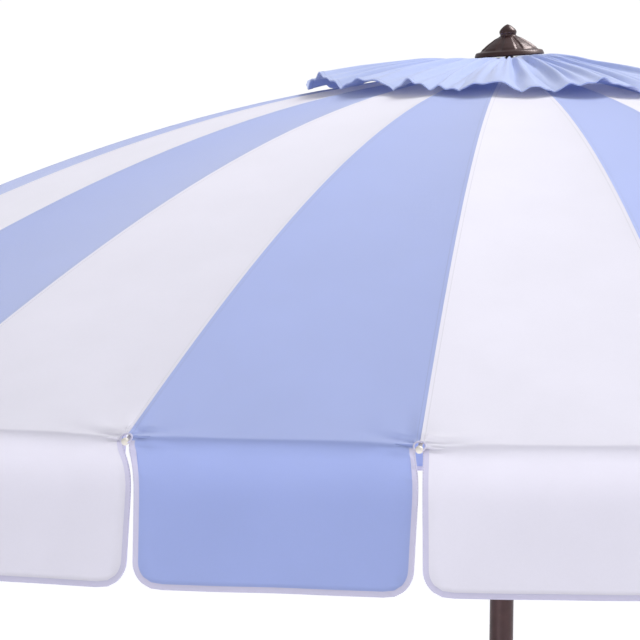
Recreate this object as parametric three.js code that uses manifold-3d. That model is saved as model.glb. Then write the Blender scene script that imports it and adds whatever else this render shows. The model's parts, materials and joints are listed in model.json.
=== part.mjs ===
// A crank-lift parasol with a vented, skirted canopy on twenty-two fibreglass ribs.
// Millimetres, +Z up, origin at the centre of the pole's foot, open at rest.
import * as THREE from "three";
import { mergeVertices } from "three/addons/utils/BufferGeometryUtils.js";
import Module from "manifold-3d";

// ---- driving dimensions ----------------------------------------------------------------
const RIB_COUNT = 22;
const RIB_STEP = (2 * Math.PI) / RIB_COUNT;
const FIRST_RIB = THREE.MathUtils.degToRad(-4.5); // rib_01, measured from -Y towards +X

const CANOPY_R = 1370; // hub axis to rib tip, open
const RIM_Z = 1930; // height of the canopy's fold at the rib tips
const CANOPY_RISE = 483.6; // rim up to the point where the ribs' line would meet the axis
const RISE_SHAPE = [0.082, 1.154, -0.131, -0.105]; // how the rise falls away with radius
const FABRIC_T = 2;
const VENT_R = 190; // edge of the canopy's hole, under the cap
const SKIRT_DROP = 200;
const SKIRT_CORNER_R = 36;
const SKIRT_SLIT = 13; // gap between two skirt flaps, where the rib tip comes through
const CANOPY_RINGS = [VENT_R, 330, 480, 640, 800, 960, 1110, 1250, CANOPY_R];

const CAP_R = 305;
const CAP_TOP_Z = 2433.5;
const CAP_HEM_Z = 2383; // at a rib; the hem lifts between the ribs
const CAP_LIFT = 15;
const CAP_HOLE_R = 9;

const POLE_R = 18;
const POLE_BORE_R = 16.5;
const LOWER_TOP_Z = 800;
const MAST_TOP_Z = 2418;
const MAST_BORE_R = 15.8;
const SPIGOT_R = 16.1;
const SPIGOT_BORE_R = 14;
const SPIGOT_DEPTH = 150;
const FOOT_H = 12;
const BUTTON_Z = 740;
const BUTTON_R = 4;

const HINGE_R = 60; // circle of the rib pins and of the stretchers' inner pins
const HUB_PIN_Z = 2402;
const HUB_DISC_R = 68;
const RUNNER_PIN_Z = 1910;
const ROD_R = 3;
const ROD_DROP = 9; // rod's centre below the fabric's outer face
const TIP_DROP = 5.8;
const BALL_R = 4.5;
const ELBOW_R = 644; // radius of the pin that joins a rib to its stretcher
const ELBOW_DROP = 9; // that pin, below the rod's centre
const STRETCHER_SIDE = 7.5; // the stretcher lies beside its rib, this far to one side
const STRETCHER_T = 4;
const STRETCHER_W = 9;
const EYE_R = 5.5;
const EYE_HOLE_R = 2.4;
const PIN_R = 1.4;
const CLIP_HALF_L = 13; // the clip that hangs a stretcher's pin under a rib
const CLIP_TOP = 13;
const CLIP_SHOULDER = 5.5;
const CLIP_HALF_W = 4.5;
const CLIP_WALL = 1.2;

const PULLEY_Z = 2325;
const PULLEY_X = 7.8;
const PULLEY_R = 13.5;
const GROOVE_R = 10.4;
const CORD_R = 1.5;
const CORD_PATH_R = GROOVE_R + CORD_R + 0.3;

const CRANK_Z = 885;
const CRANK_Y = -40;
const DRUM_R = 9;
const DRUM_L = 28;
const FLANGE_R = 16;
const FLANGE_T = 3;
const AXLE_R = 4;
const CRANK_ARM = 75;
const ARM_T = 8;
const CRANK_ARM_X = 41.5; // the arm's middle plane, outside the case
const SPINDLE_R = 3;
const SPINDLE_L = 28;
const KNOB_L = 34;
const KNOB_BORE_R = 3.4;
const CASE_HALF_W = 30;
const CASE_H = 84;
const CASE_BACK_Y = 24;
const CASE_FRONT_Y = CRANK_Y - 22;
const CASE_CORNER = 12;
const CASE_BEVEL = 3;
const DRUM_BAY = 18; // half the drum's chamber

const RIM_BASE_Z = 2438; // underside of the finial
const FINIAL_R = 52.5;
const GAP = 0.3;

// ---- materials -------------------------------------------------------------------------
const finish = (colour, roughness, metalness) => ({ color: colour, roughness, metalness });
const BRONZE = finish(0x47373a, 0.45, 0.6);
const STEEL = finish(0xa9a9ad, 0.35, 0.9);
const FIBREGLASS = finish(0xe9e3d6, 0.4, 0);
const BLACK_PLASTIC = finish(0x2b2728, 0.55, 0);
const BLUE_CLOTH = finish(0xa9bdf0, 0.9, 0);
const CAP_CLOTH = finish(0xbfd4f8, 0.9, 0);
const CORD_CLOTH = finish(0xdedbd2, 0.9, 0);

// ---- joining and cutting ---------------------------------------------------------------
const wasm = await Module();
wasm.setup();

function toSolid(geometry) {
  const bare = geometry.clone();
  for (const name of Object.keys(bare.attributes)) {
    if (name !== "position") bare.deleteAttribute(name);
  }
  const merged = mergeVertices(bare, 1e-4);
  const mesh = new wasm.Mesh({
    numProp: 3,
    vertProperties: new Float32Array(merged.attributes.position.array),
    triVerts: new Uint32Array(merged.index.array),
  });
  return new wasm.Manifold(mesh);
}

function toGeometry(solid) {
  const mesh = solid.getMesh();
  const geometry = new THREE.BufferGeometry();
  geometry.setAttribute("position", new THREE.BufferAttribute(mesh.vertProperties, 3));
  geometry.setIndex(new THREE.BufferAttribute(mesh.triVerts, 1));
  geometry.computeVertexNormals();
  return geometry;
}

function join(...geometries) {
  return toGeometry(geometries.map(toSolid).reduce((whole, next) => whole.add(next)));
}

function cut(body, ...tools) {
  return toGeometry(tools.map(toSolid).reduce((whole, tool) => whole.subtract(tool), toSolid(body)));
}

// ---- shapes ----------------------------------------------------------------------------
const AXIS_TURNS = { x: [0, 0, -Math.PI / 2], y: [0, 0, 0], z: [Math.PI / 2, 0, 0] };

// A round bar along the named axis, centred on (x, y, z).
function rod(radius, length, axis, [x, y, z], sides = 16) {
  const bar = new THREE.CylinderGeometry(radius, radius, length, sides);
  const [rx, , rz] = AXIS_TURNS[axis];
  return bar.rotateX(rx).rotateZ(rz).translate(x, y, z);
}

function block([x0, y0, z0], [x1, y1, z1]) {
  const box = new THREE.BoxGeometry(x1 - x0, y1 - y0, z1 - z0);
  return box.translate((x0 + x1) / 2, (y0 + y1) / 2, (z0 + z1) / 2);
}

// A turned shape about +Z from (radius, height) points, listed so that the outside runs upwards.
function turned(points, sides = 24) {
  const profile = points.map(([radius, height]) => new THREE.Vector2(radius, height));
  return new THREE.LatheGeometry(profile, sides).rotateX(Math.PI / 2).rotateZ(Math.PI / sides);
}

function ring(inner, outer, low, high, sides = 24) {
  return turned([[inner, low], [outer, low], [outer, high], [inner, high], [inner, low]], sides);
}

// An outline in the X-Z plane given a thickness along Y, centred on y = side.
function plate(shape, thickness, side) {
  const options = { depth: thickness, bevelEnabled: false, curveSegments: 2 };
  const flat = new THREE.ExtrudeGeometry(shape, options);
  return flat.rotateX(Math.PI / 2).translate(0, side + thickness / 2, 0);
}

// ---- the canopy's lines ----------------------------------------------------------------
function lineZ(radius) {
  const share = radius / CANOPY_R;
  const fall = RISE_SHAPE.reduce((sum, factor, power) => sum + factor * share ** (power + 1), 0);
  return RIM_Z + CANOPY_RISE * (1 - fall);
}

function slope(radius) {
  const step = 1;
  return (lineZ(radius + step) - lineZ(radius - step)) / (2 * step);
}

// The rod's centre line: a fixed depth under the fabric, less towards the tip.
function rodZ(radius) {
  const share = THREE.MathUtils.smoothstep(radius, 900, CANOPY_R);
  const drop = THREE.MathUtils.lerp(ROD_DROP, TIP_DROP, share);
  return lineZ(radius) - drop * Math.hypot(1, slope(radius));
}

class RodLine extends THREE.Curve {
  getPoint(share, target = new THREE.Vector3()) {
    const radius = THREE.MathUtils.lerp(HINGE_R + EYE_R - 1, CANOPY_R + 2, share);
    const root = THREE.MathUtils.smoothstep(radius, HINGE_R, HINGE_R + 90);
    return target.set(radius, 0, THREE.MathUtils.lerp(HUB_PIN_Z, rodZ(radius), root));
  }
}

const ribTurn = (number) => FIRST_RIB + (number - 1) * RIB_STEP - Math.PI / 2;

function aroundHub(geometryAt) {
  return Array.from({ length: RIB_COUNT }, (_, index) =>
    geometryAt(index).rotateZ(ribTurn(index + 1)));
}

// A closed skin of even thickness from a grid of rings, each ring the same points round the axis.
function skin(ringCount, pointCount, outer, inner) {
  const points = [];
  for (const face of [outer, inner]) {
    for (let row = 0; row < ringCount; row += 1) {
      for (let column = 0; column < pointCount; column += 1) points.push(...face(row, column));
    }
  }
  const at = (side, row, column) => (side * ringCount + row) * pointCount + (column % pointCount);
  const index = [];
  const quad = (a, b, c, d) => index.push(a, b, c, a, c, d);
  for (let column = 0; column < pointCount; column += 1) {
    const next = column + 1;
    for (let row = 0; row + 1 < ringCount; row += 1) {
      quad(at(0, row, column), at(0, row + 1, column), at(0, row + 1, next), at(0, row, next));
      quad(at(1, row, column), at(1, row, next), at(1, row + 1, next), at(1, row + 1, column));
    }
    const last = ringCount - 1;
    quad(at(0, 0, column), at(0, 0, next), at(1, 0, next), at(1, 0, column));
    quad(at(0, last, column), at(1, last, column), at(1, last, next), at(0, last, next));
  }
  const geometry = new THREE.BufferGeometry();
  geometry.setAttribute("position", new THREE.Float32BufferAttribute(points, 3));
  geometry.setIndex(index);
  return geometry;
}

const polar = (radius, angle, height) => [radius * Math.cos(angle), radius * Math.sin(angle), height];

// ---- soft parts ------------------------------------------------------------------------
function skirtFlap() {
  const facetR = CANOPY_R * Math.cos(RIB_STEP / 2);
  const half = CANOPY_R * Math.sin(RIB_STEP / 2) - SKIRT_SLIT / 2;
  const top = RIM_Z - 1;
  const low = RIM_Z - SKIRT_DROP;
  const outline = new THREE.Shape();
  outline.moveTo(half, top);
  outline.lineTo(-half, top);
  outline.lineTo(-half, low + SKIRT_CORNER_R);
  outline.absarc(-half + SKIRT_CORNER_R, low + SKIRT_CORNER_R, SKIRT_CORNER_R, Math.PI, 1.5 * Math.PI);
  outline.absarc(half - SKIRT_CORNER_R, low + SKIRT_CORNER_R, SKIRT_CORNER_R, 1.5 * Math.PI, 2 * Math.PI);
  outline.closePath();
  const flap = plate(outline, FABRIC_T, 0).rotateZ(Math.PI / 2);
  return flap.translate(facetR, 0, 0).rotateZ(RIB_STEP / 2);
}

function canopy() {
  const point = (drop) => (row, column) => {
    const radius = CANOPY_RINGS[row];
    return polar(radius, ribTurn(column + 1), lineZ(radius) - drop * Math.hypot(1, slope(radius)));
  };
  const cone = skin(CANOPY_RINGS.length, RIB_COUNT, point(0), point(FABRIC_T));
  return join(cone, ...aroundHub(skirtFlap));
}

function ventCap() {
  const radii = [CAP_HOLE_R, HINGE_R, 150, 235, CAP_R];
  const height = (radius, lifted) => {
    const share = Math.max(0, radius - HINGE_R) / (CAP_R - HINGE_R);
    const hem = CAP_HEM_Z + (lifted ? CAP_LIFT * share ** 4 : 0);
    return THREE.MathUtils.lerp(CAP_TOP_Z, hem, share ** 1.35);
  };
  const point = (drop) => (row, column) => {
    const angle = ribTurn(1) + (column * RIB_STEP) / 2;
    return polar(radii[row], angle, height(radii[row], column % 2 === 1) - drop);
  };
  return skin(radii.length, 2 * RIB_COUNT, point(0), point(FABRIC_T));
}

// ---- the frame's repeated pieces, drawn along +X -----------------------------------------
function eye(x, z, side, thickness) {
  const round = rod(EYE_R, thickness, "y", [x, side, z], 6);
  return cut(round, rod(EYE_HOLE_R, thickness + 2, "y", [x, side, z], 5));
}

function rib() {
  const section = new THREE.Shape();
  for (let side = 0; side < 6; side += 1) {
    const angle = (side + 0.5) * (Math.PI / 3);
    section.lineTo(ROD_R * Math.cos(angle), ROD_R * Math.sin(angle));
  }
  const path = new RodLine();
  const bar = new THREE.ExtrudeGeometry(section, { steps: 6, extrudePath: path, bevelEnabled: false });
  const tip = path.getPoint(1);
  const ball = new THREE.SphereGeometry(BALL_R, 6, 4).translate(tip.x, 0, tip.z);
  const elbowZ = rodZ(ELBOW_R) - ELBOW_DROP;
  const lean = CLIP_HALF_L * slope(ELBOW_R);
  const hanger = new THREE.Shape();
  hanger.moveTo(ELBOW_R - CLIP_HALF_W, elbowZ - 3);
  hanger.lineTo(ELBOW_R + CLIP_HALF_W, elbowZ - 3);
  hanger.lineTo(ELBOW_R + CLIP_HALF_L, elbowZ + CLIP_SHOULDER + lean);
  hanger.lineTo(ELBOW_R + CLIP_HALF_L, elbowZ + CLIP_TOP + lean);
  hanger.lineTo(ELBOW_R - CLIP_HALF_L, elbowZ + CLIP_TOP - lean);
  hanger.lineTo(ELBOW_R - CLIP_HALF_L, elbowZ + CLIP_SHOULDER - lean);
  hanger.closePath();
  const clip = plate(hanger, 2 * (ROD_R + CLIP_WALL), 0);
  const pinLength = STRETCHER_SIDE + STRETCHER_T / 2 + 1.5;
  const pin = rod(PIN_R, pinLength, "y", [ELBOW_R, pinLength / 2, elbowZ], 5);
  return join(eye(HINGE_R, HUB_PIN_Z, 0, 2 * ROD_R), bar, ball, clip, pin);
}

function stretcher() {
  const elbow = new THREE.Vector2(ELBOW_R, rodZ(ELBOW_R) - ELBOW_DROP);
  const runnerPin = new THREE.Vector2(HINGE_R, RUNNER_PIN_Z);
  const along = elbow.clone().sub(runnerPin);
  const length = along.length();
  const half = STRETCHER_T / 2;
  const inset = EYE_HOLE_R + 2;
  const low = [inset, STRETCHER_SIDE - half, -STRETCHER_W / 2];
  const bar = block(low, [length - inset, STRETCHER_SIDE + half, STRETCHER_W / 2]);
  const bars = join(
    bar,
    eye(0, 0, STRETCHER_SIDE, STRETCHER_T),
    eye(length, 0, STRETCHER_SIDE, STRETCHER_T),
  );
  bars.rotateY(-along.angle());
  return bars.translate(runnerPin.x, 0, runnerPin.y);
}

// ---- hub, runner and finial --------------------------------------------------------------
// Radial slots cut right through a disc, open at its rim.
function slots(side, width, low, high, fromR) {
  return aroundHub(() => block([fromR, side - width / 2, low], [HUB_DISC_R + 6, side + width / 2, high]));
}

function crownHub() {
  const low = HUB_PIN_Z - 8;
  const body = turned([
    [POLE_R + GAP, low - 18],
    [26, low - 18],
    [28, low],
    [HUB_DISC_R, low],
    [HUB_DISC_R, HUB_PIN_Z + 8],
    [32, HUB_PIN_Z + 8],
    [30, CAP_TOP_Z - 4],
    [6.4, CAP_TOP_Z - 4],
    [6.4, MAST_TOP_Z + GAP],
    [POLE_R + GAP, MAST_TOP_Z + GAP],
    [POLE_R + GAP, low - 18],
  ], RIB_COUNT);
  const slotted = cut(body, ...slots(0, 2 * ROD_R + 1.2, low - 1, HUB_PIN_Z + 9, HINGE_R - EYE_R - 1));
  const pin = () => rod(PIN_R, 12, "y", [HINGE_R, 0, HUB_PIN_Z], 5);
  return join(slotted, ...aroundHub(pin));
}

function runner() {
  const low = RUNNER_PIN_Z - 7;
  const high = RUNNER_PIN_Z + 7;
  const body = turned([
    [POLE_R + 0.6, low - 30],
    [24, low - 30],
    [27, low],
    [HUB_DISC_R - 2, low],
    [HUB_DISC_R - 2, high],
    [27, high],
    [25, high + 14],
    [POLE_R + 0.6, high + 14],
    [POLE_R + 0.6, low - 30],
  ], RIB_COUNT);
  return cut(body, ...slots(STRETCHER_SIDE, STRETCHER_T + 1.6, low - 1, high + 1, HINGE_R - EYE_R - 4));
}

function finial() {
  return turned([
    [0, RIM_BASE_Z - 16],
    [6, RIM_BASE_Z - 16],
    [6, RIM_BASE_Z],
    [FINIAL_R - 1, RIM_BASE_Z],
    [FINIAL_R, RIM_BASE_Z + 3],
    [46, RIM_BASE_Z + 7],
    [42, RIM_BASE_Z + 12],
    [32, RIM_BASE_Z + 19],
    [17, RIM_BASE_Z + 28],
    [12.6, RIM_BASE_Z + 31],
    [14, RIM_BASE_Z + 34],
    [13.4, RIM_BASE_Z + 37],
    [7.5, RIM_BASE_Z + 44],
    [0, RIM_BASE_Z + 48],
  ], 18);
}

// ---- pole and lift -----------------------------------------------------------------------
function poleFoot() {
  return turned([
    [0, 0],
    [POLE_R - 1.5, 0],
    [POLE_R, 1.5],
    [POLE_R, FOOT_H - GAP],
    [POLE_BORE_R - GAP, FOOT_H - GAP],
    [POLE_BORE_R - GAP, 42],
    [0, 42],
  ]);
}

function lowerPole() {
  const tube = ring(POLE_BORE_R, POLE_R, FOOT_H, LOWER_TOP_Z);
  return cut(tube, rod(BUTTON_R + GAP, 8, "x", [POLE_R, 0, BUTTON_Z], 12));
}

function mast() {
  const joint = LOWER_TOP_Z + GAP;
  const tube = turned([
    [SPIGOT_BORE_R, LOWER_TOP_Z - SPIGOT_DEPTH],
    [SPIGOT_R, LOWER_TOP_Z - SPIGOT_DEPTH],
    [SPIGOT_R, joint],
    [POLE_R, joint],
    [POLE_R, MAST_TOP_Z],
    [MAST_BORE_R, MAST_TOP_Z],
    [MAST_BORE_R, joint + 20],
    [SPIGOT_BORE_R, joint + 20],
    [SPIGOT_BORE_R, LOWER_TOP_Z - SPIGOT_DEPTH],
  ]);
  return cut(
    tube,
    rod(BUTTON_R + GAP, 8, "x", [SPIGOT_R - 1, 0, BUTTON_Z], 12),
    block([4, -5.4, PULLEY_Z - 18], [POLE_R + 4, 5.4, PULLEY_Z + 18]),
    rod(3, 2 * POLE_R + 4, "y", [PULLEY_X, 0, PULLEY_Z], 10),
    block([-9, -POLE_R - 3, CRANK_Z - 4], [-1, -8, CRANK_Z + 26]),
  );
}

function snapButton() {
  const stem = turned([
    [0, 10.4],
    [5.6, 10.4],
    [5.6, 12.2],
    [BUTTON_R, 12.2],
    [BUTTON_R, POLE_R + 1],
    [2.4, POLE_R + 2.6],
    [0, POLE_R + 2.6],
  ], 12);
  return stem.rotateY(Math.PI / 2).translate(0, 0, BUTTON_Z);
}

function crankHousing() {
  const outline = new THREE.Shape();
  outline.moveTo(CASE_HALF_W, CASE_BACK_Y);
  outline.lineTo(-CASE_HALF_W, CASE_BACK_Y);
  outline.lineTo(-CASE_HALF_W, CASE_FRONT_Y + CASE_CORNER);
  outline.lineTo(-CASE_HALF_W + CASE_CORNER, CASE_FRONT_Y);
  outline.lineTo(CASE_HALF_W - CASE_CORNER, CASE_FRONT_Y);
  outline.lineTo(CASE_HALF_W, CASE_FRONT_Y + CASE_CORNER);
  outline.closePath();
  const shell = new THREE.ExtrudeGeometry(outline, {
    depth: CASE_H,
    bevelEnabled: true,
    bevelThickness: CASE_BEVEL,
    bevelSize: CASE_BEVEL,
    bevelOffset: -CASE_BEVEL,
    bevelSegments: 1,
  }).translate(0, 0, CRANK_Z - CASE_H / 2);
  const bayLow = [-DRUM_BAY + 2, CRANK_Y - DRUM_BAY, CRANK_Z - DRUM_BAY];
  return cut(
    shell,
    rod(POLE_R + GAP, 120, "z", [0, 0, CRANK_Z], 24),
    block(bayLow, [DRUM_BAY - 2, 0, CRANK_Z + DRUM_BAY]),
    rod(AXLE_R + 0.4, 40, "x", [25, CRANK_Y, CRANK_Z], 12),
  );
}

function spool() {
  const flange = (x) => rod(FLANGE_R, FLANGE_T, "x", [x, CRANK_Y, CRANK_Z], 16);
  const flangeX = (DRUM_L - 1) / 2;
  return join(
    rod(DRUM_R, DRUM_L, "x", [0, CRANK_Y, CRANK_Z], 16),
    flange(-flangeX),
    flange(flangeX),
    rod(AXLE_R, 30, "x", [25, CRANK_Y, CRANK_Z], 12),
  );
}

function crankArm() {
  const x = CRANK_ARM_X;
  const low = CRANK_Z - CRANK_ARM;
  const bar = block([x - ARM_T / 2, CRANK_Y - 6, low], [x + ARM_T / 2, CRANK_Y + 6, CRANK_Z]);
  const boss = rod(9, ARM_T, "x", [x, CRANK_Y, CRANK_Z], 16);
  const end = rod(8, ARM_T, "x", [x, CRANK_Y, low], 16);
  const spindle = rod(SPINDLE_R, SPINDLE_L, "x", [x + 15.5, CRANK_Y, low], 10);
  const whole = join(bar, boss, end, spindle);
  return cut(whole, rod(AXLE_R + GAP, 14, "x", [x - 5, CRANK_Y, CRANK_Z], 12));
}

function crankKnob() {
  const start = CRANK_ARM_X + ARM_T / 2 + 0.7;
  const bored = start + SPINDLE_L - 2;
  const knob = turned([
    [KNOB_BORE_R, start],
    [8, start],
    [9.5, start + 6],
    [8.5, start + 18],
    [9.5, start + 30],
    [7, start + KNOB_L],
    [0, start + KNOB_L],
    [0, bored],
    [KNOB_BORE_R, bored],
    [KNOB_BORE_R, start],
  ], 12);
  return knob.rotateY(Math.PI / 2).translate(0, CRANK_Y, CRANK_Z - CRANK_ARM);
}

function pulley() {
  const wheel = turned([
    [3, -4],
    [PULLEY_R, -4],
    [PULLEY_R, -2.6],
    [GROOVE_R, -1.6],
    [GROOVE_R, 1.6],
    [PULLEY_R, 2.6],
    [PULLEY_R, 4],
    [3, 4],
    [3, -4],
  ], 20);
  return wheel.rotateX(Math.PI / 2).translate(PULLEY_X, 0, PULLEY_Z);
}

// A straight round bar between two points, run a little past both.
function strand(from, to, radius, sides = 8) {
  const along = to.clone().sub(from);
  const bar = new THREE.CylinderGeometry(radius, radius, along.length() + 0.6, sides);
  const upright = new THREE.Vector3(0, 1, 0);
  bar.applyQuaternion(new THREE.Quaternion().setFromUnitVectors(upright, along.normalize()));
  return bar.translate((from.x + to.x) / 2, (from.y + to.y) / 2, (from.z + to.z) / 2);
}

class PulleyBend extends THREE.Curve {
  getPoint(share, target = new THREE.Vector3()) {
    const angle = Math.PI * (1 - share);
    const x = PULLEY_X + CORD_PATH_R * Math.cos(angle);
    return target.set(x, 0, PULLEY_Z + CORD_PATH_R * Math.sin(angle));
  }
}

// From the drum up inside the mast, over the pulley and down to the runner's neck.
function liftCord() {
  const inner = PULLEY_X - CORD_PATH_R;
  const drum = new THREE.Vector3(inner, CRANK_Y + DRUM_R + CORD_R + 0.8, CRANK_Z);
  const gate = new THREE.Vector3(inner, -11, CRANK_Z + 22);
  const inside = new THREE.Vector3(inner, 0, CRANK_Z + 110);
  const section = new THREE.Shape();
  section.absarc(0, 0, CORD_R, 0, 2 * Math.PI);
  const options = { steps: 8, extrudePath: new PulleyBend(), bevelEnabled: false, curveSegments: 8 };
  const bend = new THREE.ExtrudeGeometry(section, options);
  const outerTop = new THREE.Vector3(PULLEY_X + CORD_PATH_R, 0, PULLEY_Z);
  const outerEnd = new THREE.Vector3(PULLEY_X + CORD_PATH_R, 0, RUNNER_PIN_Z + 22);
  return join(
    strand(drum, gate, CORD_R),
    strand(gate, inside, CORD_R),
    strand(inside, new THREE.Vector3(inner, 0, PULLEY_Z), CORD_R),
    bend,
    strand(outerTop, outerEnd, CORD_R),
  );
}

// ---- assembly ----------------------------------------------------------------------------
const parasol = new THREE.Group();

function place(name, geometry, look, turn = 0) {
  const mesh = new THREE.Mesh(geometry, new THREE.MeshStandardMaterial(look));
  mesh.name = name;
  mesh.rotation.z = turn;
  parasol.add(mesh);
}

place("pole_foot", poleFoot(), BLACK_PLASTIC);
place("lower_pole", lowerPole(), BRONZE);
place("mast", mast(), BRONZE);
place("snap_button", snapButton(), STEEL);
place("crank_housing", crankHousing(), BLACK_PLASTIC);
place("spool", spool(), STEEL);
place("crank_arm", crankArm(), BRONZE);
place("crank_knob", crankKnob(), BLACK_PLASTIC);
place("pulley", pulley(), BLACK_PLASTIC);
place("pulley_pin", rod(2.6, 2 * POLE_R + 1.6, "y", [PULLEY_X, 0, PULLEY_Z], 10), STEEL);
place("lift_cord", liftCord(), CORD_CLOTH);
place("runner", runner(), BRONZE);
place("crown_hub", crownHub(), BRONZE);
place("finial", finial(), BRONZE);
place("canopy", canopy(), BLUE_CLOTH);
place("vent_cap", ventCap(), CAP_CLOTH);

const ribShape = rib();
const stretcherShape = stretcher();
for (let number = 1; number <= RIB_COUNT; number += 1) {
  const label = String(number).padStart(2, "0");
  place(`rib_${label}`, ribShape, FIBREGLASS, ribTurn(number));
  place(`stretcher_${label}`, stretcherShape, BRONZE, ribTurn(number));
}

export default parasol;
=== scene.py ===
"""A garden parasol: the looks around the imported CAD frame. Metres, +Z up, in the CAD's own frame."""

import json
import math

import bmesh
import bpy
import numpy as np
from mathutils import Matrix, Vector


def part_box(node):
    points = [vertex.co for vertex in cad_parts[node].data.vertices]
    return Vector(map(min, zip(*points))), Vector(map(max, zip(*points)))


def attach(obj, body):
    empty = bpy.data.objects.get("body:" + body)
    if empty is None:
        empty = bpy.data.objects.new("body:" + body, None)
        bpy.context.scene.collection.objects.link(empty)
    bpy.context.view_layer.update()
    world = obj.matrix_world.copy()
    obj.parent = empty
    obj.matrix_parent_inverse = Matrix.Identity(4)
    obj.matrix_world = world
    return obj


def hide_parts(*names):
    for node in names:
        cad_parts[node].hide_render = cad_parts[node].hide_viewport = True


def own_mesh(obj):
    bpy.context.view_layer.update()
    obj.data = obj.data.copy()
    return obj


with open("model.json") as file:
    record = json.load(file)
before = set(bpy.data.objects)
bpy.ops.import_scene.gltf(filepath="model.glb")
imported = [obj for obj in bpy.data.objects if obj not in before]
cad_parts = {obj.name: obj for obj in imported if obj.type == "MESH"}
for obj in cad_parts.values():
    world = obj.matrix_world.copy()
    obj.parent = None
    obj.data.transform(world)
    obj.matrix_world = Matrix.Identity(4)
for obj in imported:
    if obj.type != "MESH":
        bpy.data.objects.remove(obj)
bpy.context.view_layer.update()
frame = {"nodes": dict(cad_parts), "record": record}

# ---- sizes, from the frame ---------------------------------------------------------------
RIBS = sum(1 for name in frame["nodes"] if name.startswith("rib_"))
STEP = 2 * math.pi / RIBS
FIRST_RIB = math.radians(-4.5)      # rib_01, from -Y towards +X
RIB_R = 1.370                       # hub axis to a rib's tip
RIM_Z = 1.930                       # height of the fold at the rib tips
RISE = 0.4836
RISE_SHAPE = (0.082, 1.154, -0.131, -0.105)
VENT_R = 0.190
SKIRT = 0.200
CORNER_R = 0.036
CLOTH = 0.0009                      # thickness of one layer of cloth
TAPE = 0.0021                       # thickness at the bound edge
TAPE_W = 0.0078
KEYHOLE_R = 0.0072                  # round opening that a rib's ball end shows through
KEYHOLE_S = 0.003                   # its centre, this far past the rim line
SLIT_TOP, SLIT_LOW = 0.0045, 0.0070  # half the gap between two flaps

CAP_R = 0.305
CAP_HUB_R = 0.060
CAP_SEAM_R = 0.0615                 # where the sectors meet the gathered middle
CAP_INNER_R = 0.034
HEM = 0.0019                        # thickness at the cap's doubled hem
CAP_TOP_Z = 2.4345
CAP_HEM_Z = 2.3835
HINGE_R = 0.060
HUB_PIN_Z = 2.402
ELBOW_R = 0.644
RUNNER_PIN_Z = 1.910

ROD_R = 0.003
EYE_R = 0.0055                      # round ends of ribs and stretchers, about their pins
ELBOW_DROP = 0.009                  # a stretcher's outer pin, under its rib's centre line
CLIP_HALF = 0.013
PIN_R = 0.0016
STRETCHER_SIDE = 0.0075             # a stretcher lies beside its rib
STRETCHER_T, STRETCHER_HALF_W = 0.0036, 0.0045

POLE_R = 0.018
SPIGOT_R, SPIGOT_LONG = 0.0161, 0.15   # the mast's end that goes into the lower pole
LOWER_BORE, MAST_BORE, SPIGOT_BORE = 0.0165, 0.0158, 0.014
BUTTON_HOLE_R = 0.0043
SLOT_HALF = (0.0054, 0.018)         # the pulley's slot in the mast: across, up and down
CORD_SLOT = (-0.009, -0.021, 0.881), (-0.001, -0.008, 0.911)
LOWER_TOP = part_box("lower_pole")[1][2]
MAST_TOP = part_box("mast")[1][2]
FINIAL_Z = 2.438
FINIAL_LEAN = math.radians(4.5)     # the finial has settled askew, and leans on the cap
FINIAL_TILT = math.tan(FINIAL_LEAN)


def rib_angle(number):
    return FIRST_RIB + (number - 1) * STEP


def out(angle):
    return np.array([math.sin(angle), -math.cos(angle), 0.0])


def around(angle):
    return np.array([math.cos(angle), math.sin(angle), 0.0])


def line_z(radius):
    """Height of the canopy's line along a rib."""
    share = np.asarray(radius, float) / RIB_R
    fall = sum(factor * share ** (power + 1) for power, factor in enumerate(RISE_SHAPE))
    return RIM_Z + RISE * (1 - fall)


def slope(radius, step=0.001):
    return (line_z(radius + step) - line_z(radius - step)) / (2 * step)


def smooth(x, low, high):
    t = np.clip((np.asarray(x, float) - low) / (high - low), 0, 1)
    return t * t * (3 - 2 * t)


# ---- camera, light and stage ---------------------------------------------------------------
CAMERA_AT = Vector((0.0, -9.0146, 2.3629))
LENS = 336.7
AIM_RIGHT, AIM_DOWN = math.radians(-1.778), math.radians(2.071)
ROLL = 0.013


def make_camera():
    """Eye level with the canopy, aimed a little down and to the left, rolled a little."""
    data = bpy.data.cameras.new("camera")
    data.lens = LENS
    data.sensor_width = 36
    data.clip_end = 200
    camera = bpy.data.objects.new("camera", data)
    bpy.context.collection.objects.link(camera)
    forward = Vector((math.tan(AIM_RIGHT), 1, -math.tan(AIM_DOWN))).normalized()
    level = forward.cross(Vector((0, 0, 1))).normalized()
    up = level.cross(forward)
    right = level * math.cos(ROLL) + up * math.sin(ROLL)
    head = up * math.cos(ROLL) - level * math.sin(ROLL)
    turn = Matrix((right, head, -forward)).transposed().to_4x4()
    camera.matrix_world = Matrix.Translation(CAMERA_AT) @ turn
    bpy.context.scene.camera = camera


def area_light(name, at, target, size, watts, colour=(1, 1, 1)):
    data = bpy.data.lights.new(name, "AREA")
    data.shape = "DISK"
    data.size = size
    data.energy = watts
    data.color = colour
    lamp = bpy.data.objects.new(name, data)
    lamp.location = at
    aim = Vector(target) - Vector(at)
    lamp.rotation_euler = aim.to_track_quat("-Z", "Y").to_euler()
    bpy.context.collection.objects.link(lamp)


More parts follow.
